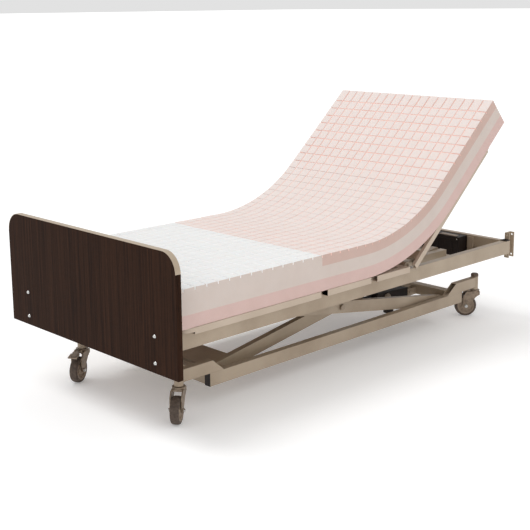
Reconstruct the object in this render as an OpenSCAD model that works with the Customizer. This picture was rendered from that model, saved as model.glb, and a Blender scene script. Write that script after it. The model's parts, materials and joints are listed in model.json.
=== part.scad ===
// Adjustable care bed: wheeled chassis, crossed lifting arms, bed frame with
// four deck sections, foot board, three electric drives and a foam mattress.
// X runs to the head end, Y to the patient's right, Z up. Lengths along the bed
// are given from the outer face of the foot board and placed by fx().
// The bed is drawn lowered, with the back section raised.

/* [Pose at rest] */
// Angle of the back section above level
back_rest_angle = 41.7; // [35:0.1:45]

/* [Foot board] */
// Width of the foot board
board_w = 1010; // [990:1:1030]
// Thickness of the foot board
board_t = 22; // [20:0.5:22]
// Height of the bottom edge above the floor
board_z0 = 236; // [226:1:246]
// Height of the top edge above the floor
board_z1 = 662; // [640:1:690]
// Radius of the two top corners
board_corner_r = 70; // [50:1:90]
// Thickness of the glued edge band
band_t = 2; // [1:0.5:3]

/* [Bed frame] */
// Distance between the outer faces of the side rails
frame_w = 810; // [806:1:814]
// Width of a rail
rail_w = 30; // [28:1:30]
// Height of a rail
rail_h = 60; // [56:1:60]
// Underside of the rails above the floor
rail_z0 = 294; // [293:0.5:295]
// End of the frame, at the outer face of the head brackets
frame_end = 2098; // [2090:1:2110]

/* [Deck] */
// Top of the slats, which carries the mattress
deck_z = 376; // [376:0.5:378]
// Distance between the outer faces of the deck side tubes
deck_w = 874; // [870:1:878]
// Hinge of the knee, between the leg and thigh sections
knee_x = 768; // [764:1:772]
// Hinge of the thigh section
thigh_x = 1055; // [1053:1:1057]
// Hinge of the back section
back_x = 1335; // [1333:1:1337]
// Height of all deck hinges
hinge_z = 361; // [360.5:0.5:361.5]
// Length of the back section from its hinge
back_len = 715; // [700:1:716]

/* [Chassis] */
// Distance between the outer faces of the lower rails
chassis_w = 620; // [616:1:620]
// Width of a lower rail
base_w = 28; // [26:1:28]
// Height of a lower rail
base_h = 50; // [46:1:50]
// Underside of the lower rails above the floor
base_z0 = 88; // [86:1:90]
// Start of the lower rails
base_x0 = 304; // [296:1:308]
// End of the lower rails
base_x1 = 1824; // [1816:1:1832]
// Height of the stepped end tubes
step_h = 46; // [44:1:46]

/* [Lifting arms] */
// Distance from the fixed pivot to the roller of one arm
arm_len = 1346; // [1340:1:1350]
// Foot end pivots from the board
arm_x = 378; // [376:1:380]
// Height of the lower pivots and rollers
arm_z0 = 114; // [112:1:115]
// Height of the upper pivots and rollers
arm_z1 = 330; // [328:1:330]
// Height of an arm's tube
arm_h = 50; // [46:1:50]
// Width of an arm's tube
arm_w = 26; // [24:1:26]

/* [Casters] */
// Radius of a wheel
wheel_r = 50; // [50:0.5:50]
// Width of a tread
wheel_w = 32; // [28:1:32]
// Offset of a wheel behind its stem
trail = 40; // [36:1:40]
// Stem of the foot casters from the board
stem_x0 = 170; // [165:1:175]
// Stem of the head casters from the board
stem_x1 = 1940; // [1930:1:1945]

/* [Mattress] */
// Width of the mattress
mattress_w = 870; // [860:1:874]
// Thickness of the mattress
mattress_t = 139; // [130:1:140]
// Foot end of the mattress from the board
mattress_x0 = 35; // [30:1:40]
// Length of its raised part from the back hinge
mattress_back = 810; // [800:1:815]

/* [Hidden] */
$fn = 48;

bolt_head = 4;
mid_x = (frame_end - bolt_head) / 2;
function fx(d) = d - mid_x;
frame_steel = [0.67, 0.61, 0.53];
frame_shade = [0.58, 0.53, 0.46];
black = [0.1, 0.09, 0.08];
grey = [0.45, 0.42, 0.4];
zinc = [0.75, 0.75, 0.76];
foam = [0.93, 0.85, 0.83];

wall = 2;
fit = 0.05;
rail_y = frame_w / 2 - rail_w / 2;
rail_in = frame_w / 2 - rail_w;
rail_z1 = rail_z0 + rail_h;
base_y = chassis_w / 2 - base_w / 2;
base_in = chassis_w / 2 - base_w;
base_z1 = base_z0 + base_h;
step_z = base_z1 + step_h / 2;
step_top = base_z1 + step_h;
arm_angle = asin((arm_z1 - arm_z0) / arm_len);
arm_head_x = arm_x + arm_len * cos(arm_angle);
outer_arm_y = 263;
inner_arm_y = 233;
pin_r = 8;
slat_t = 18;
slat_w = 36;
slat_z0 = deck_z - slat_t;
side_h = 24;
side_z0 = deck_z - side_h;
// Height of the rounded ends, which pass over the rails and the pole sockets
end_h = 16;
side_y = deck_w / 2 - 14;
back_side_y = 416;
journal_y = 348;
torque_r = 12.5;
bracket_y = 387.5;
bracket_half = 12;
// Side rails, between the foot and the head brackets
rail_start = 65;
rail_end = 2055;
head_bracket_z1 = 387;
socket_x = 2038;
socket_cap_h = 4;
// Cross tubes that carry the rear eyes of the drives
thigh_cross_x = 1752;
thigh_cross_h = 22;
head_cross_x = 2041;
head_cross_w = 28;
motor_plate_x = head_cross_x - head_cross_w / 2;
track_end = 1735;
bolt_pitch = 93;
foot_bolt_z = 271.2;
head_bolt_z = 282;
roller_r = 13;
track_gap = 13.4;
back_lever_r = 100;
thigh_lever_r = 85;
back_rod_z = hinge_z - back_lever_r;
thigh_rod_z = hinge_z - thigh_lever_r;
back_rod_y = 60;
thigh_rod_y = -90;
lift_rod_y = -100;
// The back lever stands straight down when the back is half way up
back_lever_angle = 35;
thigh_lever_angle = 17.5;
back_pin_x = back_x + back_lever_r * tan(back_rest_angle - back_lever_angle);
thigh_pin_x = thigh_x + thigh_lever_r * tan(thigh_lever_angle);
pedal_pin = [32, 119];
lift_pivot = [1690, 125];
lift_pin = [1070, 160];
lift_len = norm(lift_pivot - lift_pin);
lift_angle = atan2(lift_pin[1] - lift_pivot[1], lift_pivot[0] - lift_pin[0]);
// Headings of the trailing casters, turned from +X
heading_foot_left = 218;
heading_foot_right = 210;
heading_head_left = 136;
heading_head_right = 160;

// ---- shared shapes ----
module box(x0, x1, y0, y1, z0, z1) {
    translate([x0, y0, z0]) cube([x1 - x0, y1 - y0, z1 - z0]);
}

module mirrored_y() {
    children();
    mirror([0, 1, 0]) children();
}

// Hollow rectangular tube along X, centred on y and z
module tube_x(x0, x1, y, z, w, h, t = wall) {
    difference() {
        box(x0, x1, y - w / 2, y + w / 2, z - h / 2, z + h / 2);
        box(x0 - 1, x1 + 1, y - w / 2 + t, y + w / 2 - t, z - h / 2 + t, z + h / 2 - t);
    }
}

// Hollow rectangular tube along Y, centred on x and z
module tube_y(y0, y1, x, z, w, h, t = wall) {
    difference() {
        box(x - w / 2, x + w / 2, y0, y1, z - h / 2, z + h / 2);
        box(x - w / 2 + t, x + w / 2 - t, y0 - 1, y1 + 1, z - h / 2 + t, z + h / 2 - t);
    }
}

// Round bar along Y
module rod_y(x, z, y0, y1, r) {
    translate([x, y1, z]) rotate([90, 0, 0]) cylinder(r = r, h = y1 - y0);
}

// Round bar along X
module rod_x(x0, x1, y, z, r) {
    translate([x0, y, z]) rotate([0, 90, 0]) cylinder(r = r, h = x1 - x0);
}

// Plate in the XZ plane from an outline, between two values of y
module plate_xz(y0, y1, outline) {
    translate([0, y1, 0]) rotate([90, 0, 0]) linear_extrude(y1 - y0) polygon(outline);
}

// ---- chassis ----
module chassis_rail(side) {
    color(frame_steel) tube_x(fx(base_x0), fx(base_x1), side * base_y, base_z0 + base_h / 2, base_w, base_h);
}

// One stepped end tube: level, mitred where it lands on the rail, fitted to the caster sleeve
module step_tube(stem, inner_top, inner_bottom) {
    difference() {
        tube_x(fx(min(stem, inner_bottom)), fx(max(stem, inner_bottom)), base_y, step_z, base_w, step_h);
        translate([fx(stem), base_y, 0]) cylinder(r = 17, h = 400);
        plate_xz(base_y - base_w, base_y + base_w, [
            [fx(inner_bottom), base_z1 - 0.01], [fx(inner_top), step_top + 0.01],
            [fx(inner_top), step_top + 5], [fx(inner_bottom + 8 * sign(inner_bottom - stem)), step_top + 5],
            [fx(inner_bottom + 8 * sign(inner_bottom - stem)), base_z1 - 0.01]
        ]);
    }
}

module chassis_step_tubes() {
    color(frame_steel) mirrored_y() {
        step_tube(stem_x0, 318, 370);
        step_tube(stem_x1, 1780, 1713);
    }
}

module chassis_cross_tubes() {
    color(frame_shade) {
        tube_y(-base_in, base_in, fx(320), 113, 32, 44);
        tube_y(-base_in, base_in, fx(1755), 132, 40, 46);
    }
}

module caster_sleeves() {
    color(frame_steel) for (x = [stem_x0, stem_x1]) mirrored_y()
        translate([fx(x), base_y, 125]) difference() {
            cylinder(r = 17, h = 62);
            translate([0, 0, -1]) cylinder(r = 6, h = 64);
        }
}

module chassis_caps() {
    color(black) mirrored_y() {
        for (x = [stem_x0, stem_x1]) translate([fx(x), base_y, 187]) {
            cylinder(r = 17.5, h = 10);
            translate([0, 0, 10]) cylinder(r1 = 17.5, r2 = 14, h = 4);
        }
        box(fx(base_x0) - 3, fx(base_x0), base_y - base_w / 2, base_y + base_w / 2, base_z0, base_z1);
        box(fx(base_x1), fx(base_x1) + 3, base_y - base_w / 2, base_y + base_w / 2, base_z0, base_z1);
    }
}

module lower_pivot_brackets() {
    color(frame_steel) mirrored_y() difference() {
        box(fx(arm_x) - 22, fx(arm_x) + 22, 249, base_in, 92, 136);
        rod_y(fx(arm_x), arm_z0, 240, base_in + 1, pin_r);
    }
}

// Channel whose web stands at y_web and whose flanges reach to y_open
module track(x0, x1, z, y_web, y_open) {
    y_low = min(y_web, y_open);
    y_high = max(y_web, y_open);
    web = 3 * sign(y_open - y_web);
    for (s = [-1, 1])
        box(x0, x1, y_low, y_high, z + s * (track_gap + 1.35) - 1.35, z + s * (track_gap + 1.35) + 1.35);
    box(x0, x1, min(y_web, y_web + web), max(y_web, y_web + web), z - track_gap - 1, z + track_gap + 1);
}

module lower_tracks() {
    color(frame_shade) mirrored_y() track(fx(1535), fx(track_end), arm_z0, 218, 247);
}

module lift_motor_bracket() {
    color(frame_steel) translate([0, lift_rod_y, 0]) {
        for (s = [-1, 1]) difference() {
            box(fx(lift_pivot[0]) - 16, fx(track_end), s * 15 - 3, s * 15 + 3, 109, 141);
            rod_y(fx(lift_pivot[0]), lift_pivot[1], -30, 30, 6);
        }
        rod_y(fx(lift_pivot[0]), lift_pivot[1], -20, 20, 6 - fit);
    }
}

// ---- lifting arms ----
// Places its children along an inner arm, whose fixed pivot is its origin
module on_inner_arm() {
    translate([fx(arm_x), 0, arm_z0]) rotate([0, -arm_angle, 0]) children();
}

// Places its children along an outer arm, whose roller end is at arm_len
module on_outer_arm() {
    translate([fx(arm_x), 0, arm_z1]) rotate([0, arm_angle, 0]) children();
}

module arm(y) {
    difference() {
        union() {
            tube_x(0, arm_len, y, 0, arm_w, arm_h, 2.5);
            for (s = [0, arm_len / 2, arm_len]) rod_y(s, 0, y - arm_w / 2, y + arm_w / 2, arm_h / 2);
        }
        for (s = [0, arm_len / 2, arm_len]) rod_y(s, 0, y - arm_w, y + arm_w, pin_r);
    }
}

module inner_arms() {
    color(frame_shade) on_inner_arm() mirrored_y() arm(inner_arm_y);
}

module torsion_beam() {
    color(frame_steel) on_inner_arm() tube_y(-220, 220, 40, 2, 115, 40, 2.5);
}

module lift_lever() {
    slot = [lift_pin[0] - arm_x, lift_pin[1] - arm_z0];
    s = slot[0] * cos(arm_angle) + slot[1] * sin(arm_angle);
    h = -slot[0] * sin(arm_angle) + slot[1] * cos(arm_angle);
    color(frame_steel) on_inner_arm() {
        rod_y(s, 0, -220, 220, 17);
        for (e = [-1, 1]) difference() {
            plate_xz(lift_rod_y + e * 18 - 4, lift_rod_y + e * 18 + 4, [
                [s - 22, -10], [s - 30, h - 22], [s + 38, h - 22], [s + 22, -10]
            ]);
            for (d = [-11.5, 19]) rod_y(s + d, h - 1.3, lift_rod_y - 30, lift_rod_y + 30, 9.5);
            box(s - 11.5, s + 19, lift_rod_y - 30, lift_rod_y + 30, h - 1.3 - 9.5, h - 1.3 + 9.5);
        }
    }
}

module inner_arm_pins() {
    color(zinc) on_inner_arm() mirrored_y() {
        rod_y(0, 0, 220, 281, pin_r - fit);
        rod_y(arm_len / 2, 0, 220, 284, pin_r - fit);
        rod_y(arm_len / 2, 0, 277, 285, 12);
        rod_y(arm_len, 0, 220, 247, pin_r - fit);
        rod_y(arm_len, 0, 247, 273, 6);
        rod_y(arm_len, 0, 273, 276, 8);
    }
}

module outer_arms() {
    color(frame_steel) on_outer_arm() mirrored_y() arm(outer_arm_y);
}

module outer_arm_tube() {
    color(frame_shade) on_outer_arm() difference() {
        rod_y(95, 0, -250, 250, 17);
        rod_y(95, 0, -251, 251, 17 - 2.5);
    }
}

module outer_arm_pins() {
    color(zinc) on_outer_arm() mirrored_y() {
        rod_y(0, 0, 250, 310, pin_r - fit);
        rod_y(arm_len, 0, 249, 276, pin_r - fit);
        rod_y(arm_len, 0, 224, 249, 6);
        rod_y(arm_len, 0, 221.5, 224, 8);
    }
}

module roller(x, z, y0, y1) {
    difference() {
        rod_y(x, z, y0, y1, roller_r);
        rod_y(x, z, y0 - 1, y1 + 1, 6 + fit);
    }
}

module upper_rollers() {
    color(grey) mirrored_y() roller(fx(arm_head_x), arm_z1, 251, 271);
}

module lower_rollers() {
    color(grey) mirrored_y() roller(fx(arm_head_x), arm_z0, 226, 246);
}

// ---- bed frame ----
module frame_rail(side) {
    color(frame_steel) difference() {
        tube_x(fx(rail_start), fx(rail_end), side * rail_y, rail_z0 + rail_h / 2, rail_w, rail_h);
        translate([fx(socket_x), side * rail_y, rail_z0 - 1]) cylinder(r = 11, h = rail_h + 2);
    }
}

module frame_cross_tubes() {
    color(frame_shade) {
        tube_y(-rail_in, rail_in, fx(300), 316, 40, 36);
        tube_y(-rail_in, rail_in, fx(900), 320, 40, 36);
        tube_y(-rail_in, rail_in, fx(thigh_cross_x), rail_z0 + thigh_cross_h / 2, 30, thigh_cross_h);
        tube_y(-rail_in, rail_in, fx(head_cross_x), rail_z0 + rail_h / 2, head_cross_w, rail_h);
    }
}

module corner_bracket(x0, x1, z0, z1, bolt_z) {
    difference() {
        box(x0, x1, bracket_y - bracket_half, bracket_y + bracket_half, z0, z1);
        box(x0 + 4, x1 - 4, bracket_y - bracket_half + 4, bracket_y + 20, z0 - 1, z1 + 1);
        for (z = [bolt_z, bolt_z + bolt_pitch]) rod_x(x0 - 1, x1 + 1, bracket_y, z, 4.5);
    }
}

module corner_brackets() {
    color(frame_steel) mirrored_y() {
        corner_bracket(fx(board_t), fx(rail_start), 258, 375, foot_bolt_z);
        corner_bracket(fx(rail_end), fx(frame_end), 270, head_bracket_z1, head_bolt_z);
    }
}

// Outline of the board, seen along X, inset by d
module board_outline(d) {
    half = board_w / 2 - d;
    r = board_corner_r - d;
    union() {
        translate([-half, board_z0]) square([2 * half, board_z1 - board_corner_r - board_z0]);
        translate([-half + r, board_z0]) square([2 * (half - r), board_z1 - d - board_z0]);
        for (s = [-1, 1]) translate([s * (half - r), board_z1 - board_corner_r]) circle(r = r, $fn = 96);
    }
}

module board_slab() {
    translate([fx(0), 0, 0]) rotate([90, 0, 90]) linear_extrude(board_t) children();
}

module foot_board() {
    color([0.2, 0.13, 0.1]) difference() {
        board_slab() union() {
            board_outline(band_t);
            translate([-board_w / 2, board_z0]) square([board_w, board_z1 - board_corner_r - board_z0]);
        }
        for (s = [-1, 1], z = [0, bolt_pitch])
            rod_x(fx(0) - 1, fx(board_t) + 1, s * bracket_y, foot_bolt_z + z, 4.2);
    }
}

module board_edge_band() {
    color([0.75, 0.69, 0.61]) board_slab() difference() {
        board_outline(0);
        board_outline(band_t);
        translate([-board_w, 0]) square([2 * board_w, board_z1 - board_corner_r]);
    }
}

module board_bolts() {
    color(zinc) for (s = [-1, 1], z = [foot_bolt_z, foot_bolt_z + bolt_pitch])
        translate([fx(0), s * bracket_y, z]) {
            rotate([0, -90, 0]) cylinder(r1 = 7, r2 = 4.5, h = bolt_head);
            rotate([0, 90, 0]) cylinder(r = 4, h = board_t + 11);
            translate([board_t + 4, 0, 0]) rotate([0, 90, 0]) cylinder(r = 7.4, h = 7, $fn = 6);
        }
}

module upper_pivot_brackets() {
    color(frame_steel) mirrored_y() difference() {
        box(fx(arm_x) - 20, fx(arm_x) + 20, 279, rail_in, 308, 352);
        rod_y(fx(arm_x), arm_z1, 270, rail_in + 1, pin_r);
    }
}

module upper_tracks() {
    color(frame_shade) mirrored_y() {
        track(fx(1530), fx(track_end), arm_z1, 283, 250);
    }
}

module pole_sockets() {
    color(black) mirrored_y() translate([fx(socket_x), rail_y, 0]) difference() {
        union() {
            translate([0, 0, rail_z0 - 2]) cylinder(r = 10.9, h = rail_h + 2);
            box(-14, 14, -17, 17, rail_z1, rail_z1 + socket_cap_h);
        }
        cylinder(r = 8, h = 500);
    }
}

// Pressed slat: a channel open downward, whose top lies at z1
module slat(x0, y, z1) {
    difference() {
        box(x0, x0 + slat_w, -y, y, z1 - slat_t, z1);
        box(x0 + wall, x0 + slat_w - wall, -y - 1, y + 1, z1 - slat_t - 1, z1 - wall);
    }
}

// Slats at a steady pitch between two side tubes
module slats(x0, x1, count, y) {
    pitch = (x1 - x0 - slat_w) / (count - 1);
    for (i = [0:count - 1]) slat(x0 + i * pitch, y, deck_z);
}

module deck_sides(x0, x1) {
    mirrored_y() tube_x(x0, x1, side_y, deck_z - side_h / 2, 28, side_h);
}

module seat_frame() {
    color(frame_steel) {
        deck_sides(fx(1073.5), fx(1279));
        slats(fx(1078), fx(1275), 3, side_y - 14);
        for (x = [1096, 1257]) mirrored_y()
            box(fx(x) - slat_w / 2, fx(x) + slat_w / 2, rail_in + 4, rail_in + 26, rail_z1, slat_z0);
    }
}

// Bearing plates of the thigh and back hinges, inside the rails
module hinge_blocks() {
    color(frame_steel) for (x = [thigh_x, back_x]) mirrored_y() difference() {
        union() {
            rod_y(fx(x), hinge_z, journal_y + 2, rail_in, 14);
            box(fx(x) - 14, fx(x) + 14, journal_y + 2, rail_in, 304, hinge_z);
        }
        rod_y(fx(x), hinge_z, journal_y, rail_in + 1, pin_r + fit);
    }
}

module control_box() {
    color(black) difference() {
        union() {
            box(fx(1955), fx(2022), -190, 20, 250, 351);
            box(fx(2022), fx(2052), -275, 20, 250, 293);
            box(fx(1985), fx(2022), -275, -230, 250, 293);
        }
        for (i = [0:4]) box(fx(1950), fx(1957), -176 + i * 38, -150 + i * 38, 262, 336);
    }
}

module control_box_strap() {
    color(frame_steel) {
        box(fx(2022), fx(motor_plate_x), -226, -194, 293, 348);
        box(fx(2018), fx(2022), -226, -194, 262, 348);
    }
}

// Housing and outer tube of a level drive whose rear eye is at x1
module level_drive(x0, x_house, x1, y, z, half_h) {
    difference() {
        union() {
            box(x_house, x1 - 40, y - 33, y + 33, z - half_h, z + half_h);
            rod_x(x0, x_house, y, z, 18);
            box(x1 - 40, x1 + 13, y - 10, y + 10, z - 13, z + 13);
        }
        rod_x(x0 - 1, x_house + 40, y, z, 10 + fit);
        rod_y(x1, z, y - 11, y + 11, 6);
    }
}

module back_motor() {
    color(black) level_drive(fx(1440), fx(1700), fx(1930), back_rod_y, back_rod_z, 30);
}

module thigh_motor() {
    color(black) level_drive(fx(1140), fx(1455), fx(1672), thigh_rod_y, thigh_rod_z, 28);
}

// Ears that hold the rear eyes of the back and thigh drives
module motor_brackets() {
    color(frame_steel) {
        for (s = [-1, 1]) {
            box(fx(1915), fx(motor_plate_x), back_rod_y + s * 14 - 3, back_rod_y + s * 14 + 3, 246, 276);
            box(fx(1658), fx(thigh_cross_x + 15), thigh_rod_y + s * 14 - 3, thigh_rod_y + s * 14 + 3, 262, rail_z0);
        }
        box(fx(motor_plate_x - 4), fx(motor_plate_x), back_rod_y - 17, back_rod_y + 17, 246, 350);
        rod_y(fx(1930), back_rod_z, back_rod_y - 20, back_rod_y + 20, 6 - fit);
        rod_y(fx(1672), thigh_rod_z, thigh_rod_y - 20, thigh_rod_y + 20, 6 - fit);
    }
}

module mattress_block(outline) {
    color(foam) plate_xz(-mattress_w / 2, mattress_w / 2, outline);
}

// Half width of the fold gap above a hinge, at height h over it
function fold(h, half_angle) = h * tan(half_angle) + 3;
mat_lift = deck_z + 0.3 - hinge_z;
mat_top = mat_lift + mattress_t;
thigh_fold = 19;
back_fold = 36.5;

module mattress_seat() {
    mattress_block([
        [fx(thigh_x) + fold(mat_lift, thigh_fold), hinge_z + mat_lift],
        [fx(back_x) - fold(mat_lift, back_fold), hinge_z + mat_lift],
        [fx(back_x) - fold(mat_top, back_fold), hinge_z + mat_top],
        [fx(thigh_x) + fold(mat_top, thigh_fold), hinge_z + mat_top]
    ]);
}

// ---- back section ----
// Places its children level, with the back hinge at the origin
module on_back() {
    translate([fx(back_x), 0, hinge_z]) rotate([0, -back_rest_angle, 0]) children();
}

module back_frame() {
    top = deck_z - hinge_z;
    corner_r = 60;
    half = back_side_y + 8;
    color(frame_steel) on_back() {
        mirrored_y() {
            tube_x(0, back_len - corner_r, back_side_y, top - side_h / 2, 16, side_h);
            translate([back_len - corner_r, half - corner_r, top - end_h])
                rotate_extrude(angle = 90) translate([corner_r - 16, 0]) square([16, end_h]);
        }
        box(back_len - 16, back_len, -(half - corner_r), half - corner_r, top - end_h, top);
    }
}

module back_slats() {
    top = deck_z - hinge_z;
    color(frame_shade) on_back() for (i = [0:6]) slat(32 + i * 92, back_side_y - 8, top);
}

module drive_lever(y, width, reach, slot_near, slot_far, slot_r) {
    for (s = [-1, 1]) difference() {
        plate_xz(y + s * 18 - 4, y + s * 18 + 4, [
            [-width / 2, 0], [-width / 2, -reach], [width / 2, -reach], [width / 2, 0]
        ]);
        for (d = [slot_near, slot_far]) rod_y(0, -d, y - 30, y + 30, slot_r);
        box(-slot_r, slot_r, y - 30, y + 30, -slot_far, -slot_near);
    }
}

module torque_tube() {
    rod_y(0, 0, -journal_y, journal_y, torque_r);
    mirrored_y() rod_y(0, 0, journal_y, rail_in - 2, pin_r);
}

module back_lever() {
    color(frame_steel) on_back() {
        torque_tube();
        for (y = [-300, -110, 110, 300]) box(0, 32, y - 15, y + 15, -3, 9);
        rotate([0, back_lever_angle, 0])
            drive_lever(back_rod_y, 44, 142, back_lever_r, back_lever_r / cos(back_lever_angle), 10.2);
    }
}

// Its underside gives over the tops of the head brackets when the back lies level
module mattress_back_part() {
    gap = 4;
    on_back() difference() {
        mattress_block([
            [fold(mat_lift, back_fold), mat_lift], [mattress_back, mat_lift],
            [mattress_back, mat_top], [fold(mat_top, back_fold), mat_top]
        ]);
        mirrored_y() box(rail_end - back_x - gap, frame_end - back_x + gap, bracket_y - bracket_half - gap,
            bracket_y + bracket_half + gap, 0, head_bracket_z1 - hinge_z + 2);
    }
}

// ---- thigh and leg sections ----
module thigh_frame() {
    color(frame_steel) {
        deck_sides(fx(785), fx(1037));
        slats(fx(790), fx(1033), 4, side_y - 14);
        mirrored_y() difference() {
            union() {
                rod_y(fx(knee_x), hinge_z, 350, 360, 11);
                box(fx(knee_x), fx(795), 350, 360, hinge_z - 6, hinge_z + 8);
            }
            rod_y(fx(knee_x), hinge_z, 349, 361, 5 + fit);
        }
    }
}

module thigh_lever() {
    color(frame_steel) translate([fx(thigh_x), 0, hinge_z]) {
        torque_tube();
        for (y = [-300, -110, 110, 300]) box(-24, 0, y - 15, y + 15, -10, -3);
        rotate([0, -thigh_lever_angle, 0])
            drive_lever(thigh_rod_y, 30, 104, thigh_lever_r, thigh_lever_r / cos(thigh_lever_angle), 7);
    }
}

module knee_pins() {
    color(zinc) mirrored_y() {
        rod_y(fx(knee_x), hinge_z, 335, 363, 5);
        rod_y(fx(knee_x), hinge_z, 333, 335, 8);
    }
}

module mattress_thigh() {
    mattress_block([
        [fx(knee_x) + 5, hinge_z + mat_lift],
        [fx(thigh_x) - fold(mat_lift, thigh_fold), hinge_z + mat_lift],
        [fx(thigh_x) - fold(mat_top, thigh_fold), hinge_z + mat_top],
        [fx(knee_x) + 5, hinge_z + mat_top]
    ]);
}

module leg_frame() {
    corner_r = 60;
    x0 = 72;
    half = side_y + 14;
    color(frame_steel) {
        deck_sides(fx(x0 + corner_r), fx(750));
        mirrored_y() translate([fx(x0 + corner_r), half - corner_r, deck_z - end_h])
            rotate([0, 0, 90]) rotate_extrude(angle = 90) translate([corner_r - 28, 0]) square([28, end_h]);
        box(fx(x0), fx(x0 + 28), -(half - corner_r), half - corner_r, deck_z - end_h, deck_z);
        slats(fx(x0 + 90), fx(746), 7, side_y - 14);
        mirrored_y() difference() {
            union() {
                rod_y(fx(knee_x), hinge_z, 338, 348, 11);
                box(fx(740), fx(knee_x), 338, 348, hinge_z - 6, hinge_z + 8);
            }
            rod_y(fx(knee_x), hinge_z, 330, 350, 5 + fit);
        }
    }
}

module mattress_leg() {
    mattress_block([
        [fx(mattress_x0), hinge_z + mat_lift], [fx(knee_x) - 5, hinge_z + mat_lift],
        [fx(knee_x) - 5, hinge_z + mat_top], [fx(mattress_x0), hinge_z + mat_top]
    ]);
}

// ---- drives ----
// Places its children on the lift drive's line, with the rod pointing to -X
module on_lift_drive() {
    translate([fx(lift_pivot[0]), lift_rod_y, lift_pivot[1]]) rotate([0, lift_angle, 0]) children();
}

module lift_motor() {
    color(black) on_lift_drive() difference() {
        union() {
            rod_y(0, 0, -10, 10, 13);
            box(-40, 0, -10, 10, -13, 13);
            box(-250, -40, -34, 34, -30, 32);
            translate([-130, 0, -78]) cylinder(r = 23, h = 60);
            rod_x(-490, -250, 0, 0, 18);
        }
        rod_x(-500, -210, 0, 0, 10 + fit);
        rod_y(0, 0, -11, 11, 6);
    }
}

module lift_rod() {
    color(zinc) on_lift_drive() {
        rod_x(-lift_len + 10, -300, 0, 0, 10);
        rod_y(-lift_len, 0, -12, 12, 14);
        rod_y(-lift_len, 0, -26, 26, 7);
    }
}

module back_rod() {
    color(zinc) {
        rod_x(fx(back_pin_x) + 10, fx(1600), back_rod_y, back_rod_z, 10);
        rod_y(fx(back_pin_x), back_rod_z, back_rod_y - 12, back_rod_y + 12, 13);
        rod_y(fx(back_pin_x), back_rod_z, back_rod_y - 26, back_rod_y + 26, 6);
    }
}

module thigh_rod() {
    color(zinc) {
        rod_x(fx(thigh_pin_x) + 10, fx(1330), thigh_rod_y, thigh_rod_z, 10);
        rod_y(fx(thigh_pin_x), thigh_rod_z, thigh_rod_y - 12, thigh_rod_y + 12, 13);
        rod_y(fx(thigh_pin_x), thigh_rod_z, thigh_rod_y - 26, thigh_rod_y + 26, 6);
    }
}

// ---- casters ----
// Places its children at a stem, with the wheel trailing along +X of their own frame
module at_caster(x, side, heading) {
    translate([fx(x), side * base_y, 0]) rotate([0, 0, heading]) children();
}

module fork(braked = false) {
    color(grey) {
        for (s = [-1, 1]) plate_xz(s * 20.5 - 2, s * 20.5 + 2, [
            [-22, 117], [38, 117], [54, 96], [54, 52], [48, 42], [32, 42], [26, 54], [-4, 92], [-22, 104]
        ]);
        box(-22, 26, -22.5, 22.5, 111, 118);
        cylinder_from(118, 124, 24);
        cylinder_from(124, 186, 6 - fit);
        rod_y(trail, wheel_r, -26, 26, 4);
        for (s = [-1, 1]) rod_y(trail, wheel_r, s * 24.25 - 1.75, s * 24.25 + 1.75, 8);
        if (braked) for (s = [-1, 1]) difference() {
            box(20, 38, s * 14 - 2, s * 14 + 2, 111, 126);
            rod_y(pedal_pin[0], pedal_pin[1], -20, 20, 3);
        }
    }
}

module cylinder_from(z0, z1, r) {
    translate([0, 0, z0]) cylinder(r = r, h = z1 - z0);
}

module wheel() {
    half = wheel_w / 2;
    color(grey) translate([trail, 0, wheel_r]) rotate([90, 0, 0]) rotate_extrude($fn = 96)
        polygon([
            [4 + fit, -half], [16, -half], [18, -half + 4], [34, -half + 4], [37, -half],
            [45, -half], [48.5, -half + 4], [wheel_r, -half + 10], [wheel_r, half - 10],
            [48.5, half - 4], [45, half], [37, half], [34, half - 4], [18, half - 4],
            [16, half], [4 + fit, half]
        ]);
}

module pedal() {
    color(grey) {
        rod_y(pedal_pin[0], pedal_pin[1], -18, 18, 3 - fit);
        plate_xz(-11.5, 11.5, [
            [28, 116.2], [28, 122], [36, 123], [64, 119], [88, 112], [88, 108], [64, 115], [42, 117], [36, 116.2]
        ]);
        plate_xz(-19, 19, [[60, 115.6], [60, 119.5], [88, 112], [88, 108]]);
    }
}

// ---- parts ----
chassis_rail(-1);  // chassis_rail_left
chassis_rail(1);  // chassis_rail_right
chassis_step_tubes();
chassis_cross_tubes();
caster_sleeves();
chassis_caps();
lower_pivot_brackets();
lower_tracks();
lift_motor_bracket();
inner_arms();
torsion_beam();
lift_lever();
inner_arm_pins();
outer_arms();
outer_arm_tube();
outer_arm_pins();
upper_rollers();
lower_rollers();
frame_rail(-1);  // frame_rail_left
frame_rail(1);  // frame_rail_right
frame_cross_tubes();
corner_brackets();
foot_board();
board_edge_band();
board_bolts();
upper_pivot_brackets();
upper_tracks();
pole_sockets();
seat_frame();
hinge_blocks();
control_box();
control_box_strap();
back_motor();
thigh_motor();
motor_brackets();
mattress_seat();
back_frame();
back_slats();
back_lever();
mattress_back_part();
thigh_frame();
thigh_lever();
knee_pins();
mattress_thigh();
leg_frame();
mattress_leg();
lift_motor();
lift_rod();
back_rod();
thigh_rod();
at_caster(stem_x0, -1, heading_foot_left) fork();  // fork_foot_left
at_caster(stem_x0, 1, heading_foot_right) fork(true);  // fork_foot_right
at_caster(stem_x1, -1, heading_head_left) fork(true);  // fork_head_left
at_caster(stem_x1, 1, heading_head_right) fork();  // fork_head_right
at_caster(stem_x0, -1, heading_foot_left) wheel();  // wheel_foot_left
at_caster(stem_x0, 1, heading_foot_right) wheel();  // wheel_foot_right
at_caster(stem_x1, -1, heading_head_left) wheel();  // wheel_head_left
at_caster(stem_x1, 1, heading_head_right) wheel();  // wheel_head_right
at_caster(stem_x0, 1, heading_foot_right) pedal();  // pedal_foot_right
at_caster(stem_x1, -1, heading_head_left) pedal();  // pedal_head_left
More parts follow.
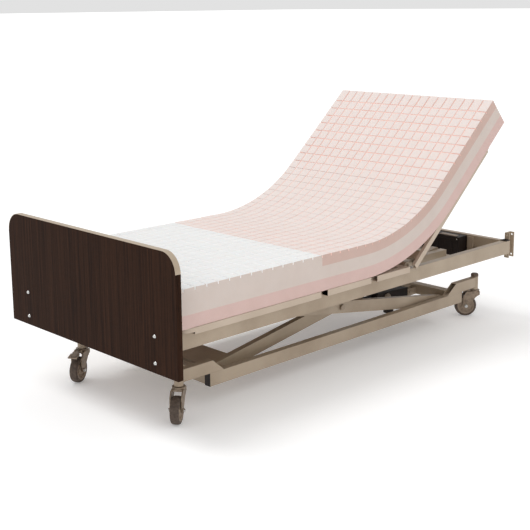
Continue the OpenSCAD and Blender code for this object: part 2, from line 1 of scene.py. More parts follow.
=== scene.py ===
"""An adjustable care bed: enamelled steel, a dark laminate foot board and a cut foam mattress.

Every piece is in metres in the row frame: +X to the head end, +Y to the patient's right, +Z up.
"""
import json
import math

import bmesh
import bpy
from mathutils import Matrix, Vector, noise

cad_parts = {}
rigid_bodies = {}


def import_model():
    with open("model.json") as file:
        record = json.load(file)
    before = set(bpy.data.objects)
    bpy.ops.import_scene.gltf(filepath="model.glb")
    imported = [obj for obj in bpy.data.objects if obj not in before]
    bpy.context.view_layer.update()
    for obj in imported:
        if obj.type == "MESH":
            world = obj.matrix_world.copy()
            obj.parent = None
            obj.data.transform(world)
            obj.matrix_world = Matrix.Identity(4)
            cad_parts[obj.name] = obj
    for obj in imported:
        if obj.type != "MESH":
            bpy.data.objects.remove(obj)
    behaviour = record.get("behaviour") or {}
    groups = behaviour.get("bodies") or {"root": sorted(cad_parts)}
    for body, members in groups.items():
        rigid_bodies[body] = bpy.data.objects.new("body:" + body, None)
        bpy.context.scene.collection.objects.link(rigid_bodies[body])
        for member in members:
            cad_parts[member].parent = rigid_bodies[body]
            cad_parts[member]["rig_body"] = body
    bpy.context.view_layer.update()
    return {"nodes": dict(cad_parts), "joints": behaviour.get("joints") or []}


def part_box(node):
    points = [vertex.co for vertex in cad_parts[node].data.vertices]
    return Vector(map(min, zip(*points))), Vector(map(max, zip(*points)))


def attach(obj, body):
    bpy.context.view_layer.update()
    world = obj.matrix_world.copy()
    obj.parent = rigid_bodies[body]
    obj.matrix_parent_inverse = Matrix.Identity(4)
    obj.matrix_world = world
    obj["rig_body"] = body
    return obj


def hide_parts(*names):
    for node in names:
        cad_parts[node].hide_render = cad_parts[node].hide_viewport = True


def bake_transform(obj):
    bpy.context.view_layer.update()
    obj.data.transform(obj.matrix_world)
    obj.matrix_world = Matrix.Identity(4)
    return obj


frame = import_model()
JOINTS = {joint["name"]: joint for joint in frame["joints"]}
MM = 0.001


def hinge_point(name):
    return Vector(JOINTS[name]["pos_m"])


# ---- camera ----
CAMERA_AT = (-3.0763, -3.0241, 1.4307)
CAMERA_YAW = 46.162  # from +X towards +Y
CAMERA_PITCH = -11.176
CAMERA_ROLL = -0.547
CAMERA_LENS = 71.394
CAMERA_SHIFT = (0.0023, -0.1000)


def add_camera():
    data = bpy.data.cameras.new("camera")
    data.sensor_width = 36
    data.lens = CAMERA_LENS
    data.shift_x, data.shift_y = CAMERA_SHIFT
    camera = bpy.data.objects.new("camera", data)
    bpy.context.scene.collection.objects.link(camera)
    turn = Matrix.Rotation(math.radians(CAMERA_YAW - 90), 4, "Z")
    tilt = Matrix.Rotation(math.radians(90 + CAMERA_PITCH), 4, "X")
    roll = Matrix.Rotation(math.radians(CAMERA_ROLL), 4, "Z")
    camera.matrix_world = Matrix.Translation(CAMERA_AT) @ turn @ tilt @ roll
    bpy.context.scene.camera = camera


# ---- materials ----
def srgb(red, green, blue):
    """A colour given as 0 to 255 on a screen, as the shader's linear colour."""
    def linear(value):
        value /= 255
        return value / 12.92 if value < 0.04045 else ((value + 0.055) / 1.055) ** 2.4
    return (linear(red), linear(green), linear(blue), 1)


class Value:
    """A number that changes over a surface; arithmetic on it adds Math nodes."""

    def __init__(self, paint, socket):
        self.paint, self.socket = paint, socket

    def _math(self, operation, first, second):
        return self.paint.node("ShaderNodeMath", {"operation": operation}, {0: first, 1: second})

    def __add__(self, other):
        return self._math("ADD", self, other)

    __radd__ = __add__

    def __sub__(self, other):
        return self._math("SUBTRACT", self, other)

    def __mul__(self, other):
        return self._math("MULTIPLY", self, other)

    __rmul__ = __mul__


class Paint:
    """One procedural material on Object coordinates."""

    def __init__(self, name):
        self.material = bpy.data.materials.new(name)
        self.material.use_nodes = True
        self.tree = self.material.node_tree
        self.tree.nodes.clear()
        self.coordinates = self.node("ShaderNodeTexCoord", {}, {}, out="Object")

    def node(self, kind, settings, sockets, out=0):
        made = self.tree.nodes.new(kind)
        for key, value in settings.items():
            if key == "stops":
                self._set_stops(made.color_ramp, value)
            else:
                setattr(made, key, value)
        for key, value in sockets.items():
            if isinstance(value, Value):
                self.tree.links.new(value.socket, made.inputs[key])
            else:
                made.inputs[key].default_value = value
        return Value(self, made.outputs[out])

    @staticmethod
    def _set_stops(ramp, stops):
        while len(ramp.elements) < len(stops):
            ramp.elements.new(1)
        for element, (place, shade) in zip(ramp.elements, stops):
            element.position = place
            element.color = (shade, shade, shade, 1)

    def placed(self, stretch=(1, 1, 1)):
        return self.node("ShaderNodeMapping", {}, {"Vector": self.coordinates, "Scale": stretch})

    def noise(self, scale, detail=3.0, roughness=0.5, stretch=(1, 1, 1)):
        return self.node(
            "ShaderNodeTexNoise", {},
            {"Vector": self.placed(stretch), "Scale": scale, "Detail": detail, "Roughness": roughness},
        )

    def cells(self, scale):
        return self.node("ShaderNodeTexVoronoi", {}, {"Vector": self.placed(), "Scale": scale})

    def ramp(self, value, *stops):
        return self.node("ShaderNodeValToRGB", {"stops": stops}, {"Fac": value})

    def mix(self, factor, first, second):
        return self.node(
            "ShaderNodeMix", {"data_type": "RGBA"}, {"Factor": factor, 6: first, 7: second}, out=2
        )

    def bump(self, height, depth, strength=1.0):
        return self.node(
            "ShaderNodeBump", {}, {"Height": height, "Distance": depth, "Strength": strength}
        )

    def finish(self, **sockets):
        named = {key.replace("_", " ").title().replace("Ior", "IOR"): value for key, value in sockets.items()}
        if "Subsurface Weight" in named:
            named["Subsurface Radius"] = (0.004, 0.003, 0.0025)
            named["Subsurface Scale"] = 1.0
        surface = self.node("ShaderNodeBsdfPrincipled", {}, named)
        self.node_output(surface)
        return self.material

    def node_output(self, surface):
        made = self.tree.nodes.new("ShaderNodeOutputMaterial")
        self.tree.links.new(surface.socket, made.inputs["Surface"])


def powder_coat(name, colour, shadow):
    """Satin powder coat on steel: orange peel, faint cloudiness and a little dust."""
    paint = Paint(name)
    peel = paint.noise(420, 2)
    cloud = paint.ramp(paint.noise(5, 4), (0.35, 0), (0.68, 1))
    speck = paint.ramp(paint.noise(1300, 1), (0.60, 0), (0.72, 1))
    colour = paint.mix(cloud, colour, shadow)
    colour = paint.mix(speck * 0.16, colour, srgb(214, 203, 186))
    return paint.finish(
        base_color=colour,
        roughness=0.34 + 0.10 * paint.noise(60, 3),
        metallic=0.12,
        normal=paint.bump(peel, 0.00012, 0.5),
    )


def moulded_plastic(name, colour, worn, grain=900):
    paint = Paint(name)
    spark = paint.cells(grain)
    rub = paint.ramp(paint.noise(9, 5, 0.65), (0.48, 0), (0.75, 1))
    return paint.finish(
        base_color=paint.mix(rub * 0.5, colour, worn),
        roughness=0.42 + 0.22 * paint.noise(35, 4),
        specular_ior_level=0.3,
        normal=paint.bump(spark, 0.00016, 0.45),
    )


def bright_zinc():
    paint = Paint("bright_zinc")
    brushed = paint.noise(240, 4, 0.6, (1, 1, 0.08))
    return paint.finish(
        base_color=paint.mix(paint.noise(40, 3), srgb(214, 214, 212), srgb(176, 175, 172)),
        metallic=1.0,
        roughness=0.16 + 0.18 * brushed,
        normal=paint.bump(brushed, 0.00005, 0.4),
    )


def wenge_laminate():
    """Fine vertical grain: long dark and light streaks with short pores."""
    paint = Paint("wenge_laminate")
    streak = paint.noise(1, 5, 0.62, (60, 95, 1.6))
    fine = paint.noise(1, 3, 0.55, (220, 430, 7))
    pores = paint.ramp(paint.noise(1, 2, 0.5, (300, 620, 24)), (0.56, 0), (0.68, 1))
    tone = paint.ramp(streak * 0.62 + fine * 0.38, (0.34, 0), (0.68, 1))
    colour = paint.mix(tone, srgb(26, 12, 6), srgb(60, 37, 24))
    colour = paint.mix(pores * 0.55, colour, srgb(14, 8, 5))
    return paint.finish(
        base_color=colour,
        roughness=0.48 + 0.14 * fine,
        specular_ior_level=0.05,
        normal=paint.bump(pores * -1.0 + fine * 0.5, 0.00018, 0.5),
    )


def edge_banding():
    paint = Paint("edge_banding")
    return paint.finish(
        base_color=paint.mix(paint.noise(30, 3), srgb(186, 169, 147), srgb(168, 150, 129)),
        roughness=0.36 + 0.08 * paint.noise(120, 2),
        normal=paint.bump(paint.noise(500, 2), 0.0001, 0.4),
    )


def foam(name, colour, shade, pore_shade):
    """Open-cell foam, cut with a hot wire: fine pores, a few larger ones, soft clouds of tone."""
    paint = Paint(name)
    pores = paint.cells(620)
    holes = paint.ramp(paint.noise(260, 3), (0.62, 0), (0.74, 1))
    cloud = paint.ramp(paint.noise(13, 4, 0.6), (0.32, 0), (0.70, 1))
    colour = paint.mix(cloud * 0.6, colour, shade)
    colour = paint.mix(holes * 0.30, colour, pore_shade)
    return paint.finish(
        base_color=colour,
        roughness=0.90 + 0.08 * paint.noise(90, 2),
        specular_ior_level=0.2,
        subsurface_weight=0.12,
        normal=paint.bump(pores * 0.6 - holes * 0.9, 0.0005, 0.5),
    )


def caster_zinc():
    paint = Paint("caster_zinc")
    worn = paint.ramp(paint.noise(70, 5, 0.6), (0.42, 0), (0.70, 1))
    return paint.finish(
        base_color=paint.mix(worn, srgb(150, 133, 115), srgb(108, 92, 78)),
        metallic=0.45,
        roughness=0.32 + 0.2 * paint.noise(160, 3),
        normal=paint.bump(paint.noise(500, 2), 0.0001, 0.4),
    )


def tread_rubber():
    paint = Paint("tread_rubber")
    dust = paint.ramp(paint.noise(85, 5, 0.6), (0.40, 0), (0.72, 1))
    return paint.finish(
        base_color=paint.mix(dust * 0.55, srgb(70, 57, 48), srgb(118, 102, 88)),
        roughness=0.62 + 0.2 * paint.noise(60, 3),
        normal=paint.bump(paint.noise(800, 3), 0.0002, 0.5),
    )


def make_materials():
    return {
        "enamel": powder_coat("champagne_enamel", srgb(175, 158, 137), srgb(156, 138, 117)),
        # Lighter copy of the frame enamel for the deck tubes: painted light, for deck tubes that stand lit
        # above the shaded rails.
        "deck": powder_coat("champagne_enamel_deck", srgb(193, 176, 158), srgb(184, 166, 147)),
        # Darker copy of the frame enamel for the cross tubes, inner arms, slats and tracks: painted shade,
        # for parts that stand in shade under the frame.
        "arm": powder_coat("champagne_enamel_painted_shade", srgb(168, 151, 129), srgb(153, 136, 115)),
        "pin": powder_coat("painted_pin", srgb(160, 143, 123), srgb(146, 129, 110)),
        "cap": moulded_plastic("brown_cap", srgb(104, 88, 75), srgb(84, 70, 59)),
        "clamp": moulded_plastic("cable_clamp", srgb(152, 139, 125), srgb(126, 112, 98)),
        "black": moulded_plastic("black_plastic", srgb(27, 18, 14), srgb(50, 37, 30)),
        "grey": moulded_plastic("hub_plastic", srgb(150, 133, 116), srgb(120, 104, 90), 700),
        "zinc": bright_zinc(),
        "wenge": wenge_laminate(),
        "band": edge_banding(),
        "caster": caster_zinc(),
        "tread": tread_rubber(),
        "pink": foam("pink_top_foam", srgb(233, 221, 216), srgb(230, 216, 210), srgb(221, 200, 193)),
        # The cut foams are painted lighter than the tops to offset the shade inside the cuts: painted light.
        # The pink cut foam also has its own salmon tone.
        "pink_cut_painted_light": foam("pink_cut_foam_painted_light", srgb(249, 219, 210), srgb(247, 213, 203), srgb(240, 202, 192)),
        "white": foam("white_top_foam", srgb(235, 235, 234), srgb(230, 230, 229), srgb(214, 214, 213)),
        "white_cut_painted_light": foam("white_cut_foam_painted_light", srgb(248, 247, 246), srgb(244, 243, 242), srgb(232, 230, 228)),
        "pink_side": foam("pink_side_foam", srgb(206, 179, 169), srgb(198, 171, 160), srgb(178, 150, 139)),
        "middle": foam("middle_foam", srgb(212, 199, 191), srgb(205, 191, 182), srgb(186, 170, 161)),
        "base_foam": foam("base_foam", srgb(214, 186, 179), srgb(206, 178, 170), srgb(186, 154, 145)),
    }


# ---- mesh helpers ----
def new_piece(name, bm, materials, body=None, smooth_angle=35):
    """Ends a bmesh as an object at the origin, shaded smooth below smooth_angle, if one is given."""
    mesh = bpy.data.meshes.new(name)
    bm.to_mesh(mesh)
    bm.free()
    piece = bpy.data.objects.new(name, mesh)
    bpy.context.scene.collection.objects.link(piece)
    for material in materials:
        mesh.materials.append(material)
    for face in mesh.polygons:
        face.use_smooth = True
    if smooth_angle:
        mesh.set_sharp_from_angle(angle=math.radians(smooth_angle))
    if body:
        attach(piece, body)
    return piece


def softened(node, material, width):
    """A CAD node's shape with its sharp edges rounded, standing for the node.

    The edges between flat and rounded faces are marked sharp, so that flat faces shade flat.
    """
    bm = bmesh.new()
    bm.from_mesh(frame["nodes"][node].data)
    bmesh.ops.remove_doubles(bm, verts=bm.verts, dist=0.00001)
    bmesh.ops.dissolve_limit(bm, angle_limit=math.radians(1), verts=bm.verts, edges=bm.edges)
    sharp = [
        edge for edge in bm.edges
        if len(edge.link_faces) == 2
        and edge.calc_face_angle(0) > math.radians(40)
    ]
    rounded = set(bmesh.ops.bevel(
        bm, geom=sharp, offset=width, segments=2, profile=0.5,
        affect="EDGES", clamp_overlap=True, material=-1,
    )["faces"])
    bm.normal_update()
    for edge in bm.edges:
        sides = [face in rounded for face in edge.link_faces]
        edge.smooth = edge.calc_face_angle(0) < math.radians(35) and len(set(sides)) == 1
    piece = new_piece(node + "_shell", bm, [material], frame["nodes"][node]["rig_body"], smooth_angle=None)
    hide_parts(node)
    return piece


# ---- mattress ----
FOOT_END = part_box("mattress_leg")[0].x
HALF_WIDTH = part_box("mattress_leg")[1].y
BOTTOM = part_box("mattress_leg")[0].z
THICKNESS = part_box("mattress_leg")[1].z - BOTTOM
BACK = hinge_point("back_raise")
BACK_ANGLE = math.radians(-JOINTS["back_raise"]["range_deg"][0])
BEND_RADIUS = 0.85
ZONE_COLUMNS = 14  # cut columns of the white foot zone
COLUMNS = 41
ROWS = 18
FOOT_ZONE = 0.722  # length of the white foot zone
CUT_DEPTH = 0.010
CUT_HALF = 0.0026
CUT_SLOPE = 0.0005  # the walls of a cut lean by this much
PILLAR_ROUND, PILLAR_RISE = 0.0016, 0.0011  # rounding round the top of a pillar
PILLAR_CROWN, CROWN_RISE = 0.0045, 0.0005  # gentle crown inside the rounding
RIM = 0.012  # width along the sides and ends where the cuts keep their full depth
CLOSED_AT_RIM, CLOSED_INSIDE = 0.55, 0.95  # how far the bend closes a cross cut
SIDE_WANDER = 0.0012  # how far the hot wire wandered on the sides
# Depth of the cuts away from the sides: foot zone, the rest, and where the bend closes them
SHALLOW_ZONE, SHALLOW, BEND_SHALLOW = 0.0018, 0.0036, 0.0023
LAST_COLUMN = 1.42  # the head end column is longer than the others
LAYER_LOW = 0.0475  # top of the base foam
LAYER_TOP = 0.0965  # top of the middle foam
FOAM_SLOTS = ("pink", "pink_cut_painted_light", "white", "white_cut_painted_light", "pink_side", "middle", "base_foam")
RAISED_END = 0.810  # head end of the mattress, along the back section from its hinge

TANGENT = BEND_RADIUS * math.tan(BACK_ANGLE / 2)
BEND_START = BACK.x + (BOTTOM - BACK.z) * -math.tan(BACK_ANGLE / 2) - TANGENT
ARC_LENGTH = BEND_RADIUS * BACK_ANGLE
STRAIGHT_BACK = RAISED_END - (BOTTOM - BACK.z) * math.tan(BACK_ANGLE / 2) - TANGENT
TOTAL = (BEND_START - FOOT_END) + ARC_LENGTH + STRAIGHT_BACK


def column_line(index):
    """Length along the mattress at which a cut column begins."""
    if index <= ZONE_COLUMNS:
        return FOOT_ZONE * index / ZONE_COLUMNS
    if index == COLUMNS:
        return TOTAL
    pitch = (TOTAL - FOOT_ZONE) / (COLUMNS - 1 - ZONE_COLUMNS + LAST_COLUMN)
    return FOOT_ZONE + pitch * (index - ZONE_COLUMNS)


def bent(point):
    """A point of the level mattress (length, y, height) on the raised bed."""
    along = FOOT_END + point.x - BEND_START
    if along <= 0:
        return Vector((FOOT_END + point.x, point.y, BOTTOM + point.z))
    turn = min(along / BEND_RADIUS, BACK_ANGLE)
    beyond = max(along - ARC_LENGTH, 0)
    reach = BEND_RADIUS - point.z
    return Vector((
        BEND_START + reach * math.sin(turn) + beyond * math.cos(turn),
        point.y,
        BOTTOM + BEND_RADIUS - reach * math.cos(turn) + beyond * math.sin(turn),
    ))


def squeeze(length):
    """How far the bend has closed the cross cuts: 0 open, 1 closed."""
    along = (FOOT_END + length - BEND_START) / ARC_LENGTH
    return max(0.0, min(1.0, 4 * along + 0.6, 4 * (1 - along) + 0.6)) if -0.15 < along < 1.15 else 0.0


def cut_foam(name, first, last, mats):
    """The mattress from one cut column to another: pillars on a layered body."""
    bm = bmesh.new()
    count = last - first
    bmesh.ops.create_grid(bm, x_segments=count, y_segments=ROWS, size=0.5)
    start, end = column_line(first), column_line(last)
    for vert in bm.verts:
        column = round((vert.co.x + 0.5) * count)
        vert.co = Vector((column_line(first + column), vert.co.y * 2 * HALF_WIDTH, THICKNESS - CUT_DEPTH))
    pillars = list(bm.faces)
    in_zone = [face.calc_center_median().x < FOOT_ZONE for face in pillars]
    # The cut walls take the cut foams, which carry painted light against the shade inside the cuts.
    for face, white in zip(pillars, in_zone):
        face.material_index = FOAM_SLOTS.index("white_cut_painted_light" if white else "pink_cut_painted_light")
    bmesh.ops.inset_individual(bm, faces=pillars, thickness=CUT_HALF, depth=0)
    rise = CUT_DEPTH - PILLAR_RISE - CROWN_RISE
    bmesh.ops.inset_individual(bm, faces=pillars, thickness=CUT_SLOPE, depth=rise)
    for face, white in zip(pillars, in_zone):
        face.material_index = FOAM_SLOTS.index("white" if white else "pink")
    bmesh.ops.inset_individual(bm, faces=pillars, thickness=PILLAR_ROUND, depth=PILLAR_RISE)
    bmesh.ops.inset_individual(bm, faces=pillars, thickness=PILLAR_CROWN, depth=CROWN_RISE)
    flush_sides(bm, first == 0, last == COLUMNS, start, end)
    layer_sides(bm)
    close_underside(bm, first, last)
    shape_foam(bm)
    bmesh.ops.recalc_face_normals(bm, faces=bm.faces)
    return new_piece(name, bm, [mats[key] for key in FOAM_SLOTS], smooth_angle=50)


def top_foam_slot(face):
    """Side of the top foam: as pale as the middle foam in the foot zone, pink in the rest."""
    return FOAM_SLOTS.index("middle" if face.calc_center_median().x < FOOT_ZONE else "pink_side")


def flush_sides(bm, foot_end, head_end, start, end):
    """Brings the outer pillars' outer walls flush with the mattress's sides."""
    reach = CUT_HALF + 0.0008
    for vert in bm.verts:
        if abs(vert.co.y) > HALF_WIDTH - reach:
            vert.co.y = math.copysign(HALF_WIDTH, vert.co.y)
        if foot_end and vert.co.x < start + reach:
            vert.co.x = start
        if head_end and vert.co.x > end - reach:
            vert.co.x = end
    hidden = []
    for face in bm.faces:
        low = all(vert.co.z < THICKNESS - CUT_DEPTH + 1e-5 for vert in face.verts)
        side = all(abs(abs(vert.co.y) - HALF_WIDTH) < 1e-6 for vert in face.verts)
        foot = foot_end and all(vert.co.x < start + 1e-6 for vert in face.verts)
        head = head_end and all(vert.co.x > end - 1e-6 for vert in face.verts)
        if low and (side or foot or head):
            hidden.append(face)
        elif side or foot or head:
            face.material_index = top_foam_slot(face)
    bmesh.ops.delete(bm, geom=hidden, context="FACES")


def layer_sides(bm):
    """Walls under the pillars, in three foams glued one on another."""
    rim = [edge for edge in bm.edges if len(edge.link_faces) == 1]
    for height, slot in ((LAYER_TOP, None), (LAYER_LOW, "middle"), (0, "base_foam")):
        made = bmesh.ops.extrude_edge_only(bm, edges=rim)["geom"]
        for vert in (item for item in made if isinstance(item, bmesh.types.BMVert)):
            vert.co.z = height
        for face in (item for item in made if isinstance(item, bmesh.types.BMFace)):
            face.material_index = FOAM_SLOTS.index(slot) if slot else top_foam_slot(face)
        rim = [
            item for item in made
            if isinstance(item, bmesh.types.BMEdge) and len(item.link_faces) == 1
            and all(abs(vert.co.z - height) < 1e-6 for vert in item.verts)
        ]


def close_underside(bm, first, last):
    rim = [edge for edge in bm.edges if len(edge.link_faces) == 1]
    bottom = bmesh.ops.contextual_create(bm, geom=rim)["faces"]
    for face in bottom:
        face.material_index = FOAM_SLOTS.index("base_foam")
    for column in range(first + 1, last):
        under = [face for face in bm.faces if all(vert.co.z < 1e-6 for vert in face.verts)]
        rims = list({edge for face in under for edge in face.edges})
        bmesh.ops.bisect_plane(
            bm, geom=under + rims, plane_co=(column_line(column), 0, 0), plane_no=(1, 0, 0), dist=1e-5
        )


def row_distance(side):
    """Distance across the mattress from the nearest lengthwise cut."""
    pitch = 2 * HALF_WIDTH / ROWS
    place = (side + HALF_WIDTH) / pitch
    return abs(place - round(place)) * pitch


def shape_foam(bm):
    """Bends the level mattress to the raised deck and lets the cut foam vary a little."""
    lines = [column_line(index) for index in range(COLUMNS + 1)]
    top = THICKNESS - CUT_DEPTH
    for vert in bm.verts:
        flat = vert.co.copy()
        at_rim = HALF_WIDTH - abs(flat.y) < RIM or not RIM < flat.x < TOTAL - RIM
        if abs(flat.z - top) < 1e-5 and not at_rim:
            depth = SHALLOW_ZONE if flat.x < FOOT_ZONE - 0.004 else SHALLOW
            flat.z = THICKNESS - depth + (depth - BEND_SHALLOW) * squeeze(flat.x)
        elif flat.z > top + 0.002:
            line = min(lines, key=lambda place: abs(place - flat.x))
            gap = flat.x - line
            close = squeeze(flat.x)
            if close and 0 < abs(gap) < RIM:
                held = CLOSED_AT_RIM if at_rim else CLOSED_INSIDE
                flat.x = line + gap * (1 - held * close * (1 - abs(gap) / RIM))
                if not at_rim and row_distance(flat.y) > CUT_HALF + 0.0026:
                    flat.z += (THICKNESS - 0.0003 - flat.z) * close
            cell = Vector((round(flat.x / 0.05), round(flat.y / 0.048), 0)) * 0.73
            flat.z += 0.0007 * noise.noise(cell) + 0.0006 * noise.noise(flat * 9)
        if abs(abs(flat.y) - HALF_WIDTH) < 1e-5:
            wander = noise.noise(Vector((flat.x * 3, 5, flat.z * 12)))
            flat.y -= math.copysign(SIDE_WANDER * (1 + wander) / 2, flat.y)
        vert.co = bent(flat)


def add_mattress(mats):
    split_leg, split_seat = ZONE_COLUMNS + 3, ZONE_COLUMNS + 8
    leg = cut_foam("mattress_foot_zone", 0, split_leg, mats)
    seat = cut_foam("mattress_seat_zone", split_leg, split_seat, mats)
    back = cut_foam("mattress_back_zone", split_seat, COLUMNS, mats)
    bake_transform(leg)
    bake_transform(seat)
    # The foam begins to follow the back 120 mm before its hinge and has joined it 270 mm along it
    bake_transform(back)
    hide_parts("mattress_leg")
    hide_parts("mattress_thigh", "mattress_seat")
    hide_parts("mattress_back_part")


# ---- steel, laminate and plastic ----
# Each row: material, slot, width of the rounded edges in metres and the nodes that carry it
FINISHES = (
    ("enamel", "frame_enamel", 0.0009,
     "chassis_rail_left chassis_rail_right chassis_step_tubes caster_sleeves lower_pivot_brackets "
     "lift_motor_bracket torsion_beam lift_lever outer_arms frame_rail_left frame_rail_right "
     "corner_brackets upper_pivot_brackets hinge_blocks control_box_strap motor_brackets "
     "back_lever thigh_lever"),
    # The deck tubes take the lighter copy of the enamel: painted light.
    ("deck", "frame_enamel", 0.0010, "seat_frame back_frame thigh_frame leg_frame"),
    # Cross tubes, inner arms, slats and tracks take the darker copy of the enamel: painted shade.
    ("arm", "arm_enamel", 0.0009,
     "chassis_cross_tubes inner_arms outer_arm_tube frame_cross_tubes back_slats lower_tracks upper_tracks"),
    ("wenge", "wenge_laminate", 0.0008, "foot_board"),
    ("band", "edge_band", 0.0006, "board_edge_band"),
    ("black", "black_plastic", 0.003, "back_motor thigh_motor lift_motor control_box"),
    ("black", "black_plastic", 0.0012, "pole_sockets"),
    ("pin", "frame_enamel", 0.0010, "inner_arm_pins outer_arm_pins"),
    ("zinc", "zinc_plate", 0.0006, "board_bolts knee_pins lift_rod back_rod thigh_rod"),
    ("caster", "caster_metal", 0.0012,
     "fork_foot_left fork_foot_right fork_head_left fork_head_right pedal_foot_right pedal_head_left"),
    ("tread", "wheel_rubber", 0.0012, "upper_rollers lower_rollers"),
)


def add_steel(mats):
    for finish, slot, width, nodes in FINISHES:
        for node in nodes.split():
            softened(node, mats[finish], width)


def add_caps(mats):
    """Caps of the caster sleeves in brown, plugs of the rails in black."""
    caps = softened("chassis_caps", mats["black"], 0.0012)
    caps.data.materials.append(mats["cap"])
    for face in caps.data.polygons:
        face.material_index = 1 if face.center.z > 0.17 else 0


# ---- casters ----
WHEEL_PROFILE = (
    (4.2, 16.0), (13.6, 16.0), (15.0, 15.4), (17.0, 12.8), (33.0, 12.6), (35.0, 14.8), (36.0, 15.4),
    (38.4, 15.6), (38.9, 14.9), (39.6, 14.9), (40.2, 15.8), (43.0, 16.0), (45.6, 15.4), (47.6, 13.7),
    (49.0, 11.2), (49.7, 8.0), (50.0, 4.0), (50.0, 0.5), (49.7, 0.3),
)
HUB_EDGE = 39.2 * MM
DISH_INNER, DISH_OUTER = 17.0 * MM, 33.0 * MM
WHEEL_STEPS = 72
RIBS = 9
RIB_HALF, POCKET_SLOPE, POCKET_DEPTH = 1.6 * MM, 0.8 * MM, 3.0 * MM
# Radius, segments, thickness and distance from the middle of the wheel
AXLE_WASHER = (7.8 * MM, 32, 0.9 * MM, 26.3 * MM)
AXLE_HEAD = (6.2 * MM, 6, 4.2 * MM, 28.6 * MM)


def lathe(profile, steps):
    """Spins a closed profile of (radius, side) in millimetres, and its mirror, about the Y axis."""
    bm = bmesh.new()
    loop = list(profile) + [(radius, -side) for radius, side in reversed(profile)]
    verts = [bm.verts.new((radius * MM, side * MM, 0)) for radius, side in loop]
    edges = [bm.edges.new(pair) for pair in zip(verts, verts[1:] + verts[:1])]
    bmesh.ops.spin(
        bm, geom=verts + edges, cent=(0, 0, 0), axis=(0, 1, 0), dvec=(0, 0, 0),
        angle=math.tau, steps=steps, use_merge=True, use_normal_flip=False, use_duplicate=False,
    )
    bmesh.ops.remove_doubles(bm, verts=bm.verts, dist=0.000001)
    bmesh.ops.recalc_face_normals(bm, faces=bm.faces)
    return bm


def on_axle(bm, corner):
    """Moves a shape made about Y to the axle of one caster."""
    joint = JOINTS["roll_" + corner]
    along = Vector(joint["axis"]).normalized()
    forward = along.cross(Vector((0, 0, 1)))
    turn = Matrix((forward, along, Vector((0, 0, 1)))).transposed().to_4x4()
    bmesh.ops.transform(bm, matrix=Matrix.Translation(joint["pos_m"]) @ turn, verts=bm.verts)


def add_wheel(corner, mats):
    bm = lathe(WHEEL_PROFILE, WHEEL_STEPS)
    for face in bm.faces:
        centre = face.calc_center_median()
        face.material_index = 0 if math.hypot(centre.x, centre.z) > HUB_EDGE else 1
    dish = {}
    for face in bm.faces:
        centre = face.calc_center_median()
        if DISH_INNER < math.hypot(centre.x, centre.z) < DISH_OUTER:
            turn = int((math.atan2(centre.z, centre.x) + math.pi) / math.tau * RIBS) % RIBS
            dish.setdefault((turn, centre.y > 0), []).append(face)
    for pocket in dish.values():
        bmesh.ops.inset_region(bm, faces=pocket, thickness=RIB_HALF, depth=0, use_even_offset=True)
        bmesh.ops.inset_region(
            bm, faces=pocket, thickness=POCKET_SLOPE, depth=-POCKET_DEPTH, use_even_offset=True
        )
    on_axle(bm, corner)
    wheel = new_piece("wheel_" + corner + "_shell", bm, [mats["tread"], mats["grey"]], "wheel_" + corner)
    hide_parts("wheel_" + corner)


def add_axle_bolt(corner, mats):
    """Hexagon head and washer on each side of a fork."""
    bm = bmesh.new()
    for side in (-1, 1):
        outward = Matrix.Rotation(-side * math.pi / 2, 4, "X")
        for radius, segments, depth, place in (AXLE_WASHER, AXLE_HEAD):
            bmesh.ops.create_cone(
                bm, cap_ends=True, segments=segments, radius1=radius, radius2=radius * 0.97, depth=depth,
                matrix=Matrix.Translation((0, side * place, 0)) @ outward,
            )
    on_axle(bm, corner)
    bolt = new_piece("axle_bolt_" + corner, bm, [mats["zinc"]], "fork_" + corner)


def add_casters(mats):
    for corner in ("foot_left", "foot_right", "head_left", "head_right"):
        add_wheel(corner, mats)
        add_axle_bolt(corner, mats)


# ---- small fittings ----
SUNK = 0.5 * MM  # how deep a fitting's foot stands in its face
CLAMP_FROM, CLAMP_TO, CLAMP_RISE = -168 * MM, -78 * MM, 3.5 * MM
COVER_SCREW_SIDES = (-180 * MM, 10 * MM)
COVER_SCREW_INSET = 10 * MM
GLANDS, FIRST_GLAND, GLAND_PITCH = 4, -150 * MM, 45 * MM
# Along the lift drive from its rear eye, in millimetres: start, end and the two radii
REAR_BOOT = (17, 40, 11.2, 24)
REAR_COLLAR = (40, 50, 33.8, 33.8)
GEAR_COVER_PLACE = 185 * MM


def block(bm, low, high, edge):
    """A box between two corners with rounded edges."""
    low, high = Vector(low), Vector(high)
    made = bmesh.ops.create_cube(bm, size=1, matrix=Matrix.LocRotScale(
        (low + high) / 2, None, high - low))["verts"]
    edges = list({item for vert in made for item in vert.link_edges})
    bmesh.ops.bevel(bm, geom=edges, offset=edge, segments=2, profile=0.5, affect="EDGES",
                    clamp_overlap=True, material=-1)


def stud(bm, at, direction, radius, height, segments=24):
    """A domed screw or gland standing on a face."""
    turn = Vector(direction).to_track_quat("Z", "Y").to_matrix().to_4x4()
    for share, size in ((0.62, 1.0), (1.0, 0.72)):
        bmesh.ops.create_cone(
            bm, cap_ends=True, segments=segments, radius1=radius, radius2=radius * size,
            depth=height * share,
            matrix=Matrix.Translation(at) @ turn @ Matrix.Translation((0, 0, height * share / 2)),
        )


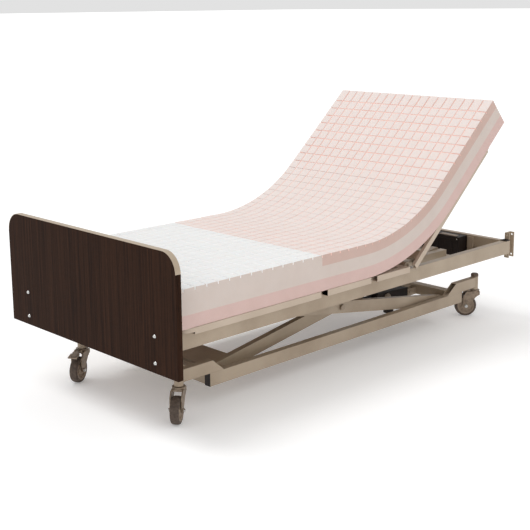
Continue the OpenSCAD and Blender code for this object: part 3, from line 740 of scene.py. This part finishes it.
def add_control_box_fittings(mats):
    """Cable clamp on top of the control box, screws in its cover and cable glands under it."""
    low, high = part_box("control_box")
    bm = bmesh.new()
    clamp_low = (high.x - 92 * MM, CLAMP_FROM, high.z - SUNK)
    clamp_high = (high.x - 66 * MM, CLAMP_TO, high.z + CLAMP_RISE)
    block(bm, clamp_low, clamp_high, 1.2 * MM)
    clamp = new_piece("control_box_clamp", bm, [mats["clamp"]], "bed_frame")
    bm = bmesh.new()
    for y in COVER_SCREW_SIDES:
        for z in (low.z + COVER_SCREW_INSET, high.z - COVER_SCREW_INSET):
            stud(bm, (low.x + SUNK, y, z), (-1, 0, 0), 3.8 * MM, 2.2 * MM)
    screws = new_piece("control_box_screws", bm, [mats["zinc"]], "bed_frame")
    bm = bmesh.new()
    for index in range(GLANDS):
        side = FIRST_GLAND + GLAND_PITCH * index
        stud(bm, (low.x + 34 * MM, side, low.z + SUNK), (0, 0, -1), 8.5 * MM, 11 * MM)
    glands = new_piece("control_box_glands", bm, [mats["black"]], "bed_frame")


def add_lift_drive_cover(mats):
    """Gear cover on the near side of the lift drive, and the collar and boot at its rear eye."""
    pivot = Vector(JOINTS["lift_drive_swing"]["pos_m"])
    slide = Vector(JOINTS["lift_drive_slide"]["axis"]).normalized()
    inward = slide if slide.x < 0 else -slide
    turn = inward.to_track_quat("Z", "Y").to_matrix().to_4x4()
    side = Vector((0, -1, 0))
    bm = bmesh.new()
    for start, end, near, far in (REAR_BOOT, REAR_COLLAR):
        bmesh.ops.create_cone(
            bm, cap_ends=True, segments=48, radius1=near * MM, radius2=far * MM, depth=(end - start) * MM,
            matrix=Matrix.Translation(pivot + inward * (start + end) / 2 * MM) @ turn,
        )
    gear = pivot + inward * GEAR_COVER_PLACE
    stud(bm, gear + side * 33.5 * MM, side, 24 * MM, 5 * MM, 48)
    stud(bm, gear + side * 38 * MM, side, 8 * MM, 3 * MM)
    cover = new_piece("lift_drive_cover", bm, [mats["clamp"]], "lift_drive")


def add_drive_fittings(mats):
    """Screws on the covers of the two level drives."""
    for node in ("back_motor", "thigh_motor"):
        low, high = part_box(node)
        bm = bmesh.new()
        middle = (low.z + high.z) / 2
        for x in (high.x - 75 * MM, high.x - 215 * MM):
            for y, side in ((low.y, -1), (high.y, 1)):
                for z in (middle - 20 * MM, middle + 20 * MM):
                    stud(bm, (x, y - side * 0.4 * MM, z), (0, side, 0), 3.2 * MM, 1.8 * MM)
        screws = new_piece(node + "_screws", bm, [mats["zinc"]], "bed_frame")


# ---- studio ----
def add_light(name, at, aim, size, power):
    data = bpy.data.lights.new(name, "AREA")
    data.shape = "RECTANGLE"
    data.size, data.size_y = size
    data.energy = power
    light = bpy.data.objects.new(name, data)
    bpy.context.scene.collection.objects.link(light)
    direction = Vector(aim) - Vector(at)
    light.matrix_world = Matrix.Translation(at) @ direction.to_track_quat("-Z", "Y").to_matrix().to_4x4()


def add_studio():
    bm = bmesh.new()
    bmesh.ops.create_grid(bm, x_segments=1, y_segments=1, size=200)
    paint = Paint("pale_floor")
    floor = new_piece("floor", bm, [paint.finish(
        base_color=srgb(250, 250, 250), roughness=0.9, specular_ior_level=0.0,
        emission_color=srgb(255, 255, 255), emission_strength=0.17,
    )])
    add_light("fill", (-3.2, -3.0, 2.6), (0, 0, 0.3), (3.0, 2.0), 12)
    sun = bpy.data.lights.new("sky_light", "SUN")
    sun.energy = 0.95
    sun.angle = math.radians(35)
    sun_lamp = bpy.data.objects.new("sky_light", sun)
    bpy.context.scene.collection.objects.link(sun_lamp)
    sun_lamp.matrix_world = Vector((0.25, -0.45, -1)).to_track_quat("-Z", "Y").to_matrix().to_4x4()
    world = bpy.data.worlds.new("studio")
    world.use_nodes = True
    background = world.node_tree.nodes["Background"]
    background.inputs["Color"].default_value = (1, 1, 1, 1)
    background.inputs["Strength"].default_value = 0.76
    bpy.context.scene.world = world
    bpy.context.scene.view_settings.view_transform = "Standard"


add_camera()
materials = make_materials()
add_mattress(materials)
add_steel(materials)
add_caps(materials)
add_casters(materials)
add_control_box_fittings(materials)
add_lift_drive_cover(materials)
add_drive_fittings(materials)
add_studio()

bpy.context.view_layer.update()
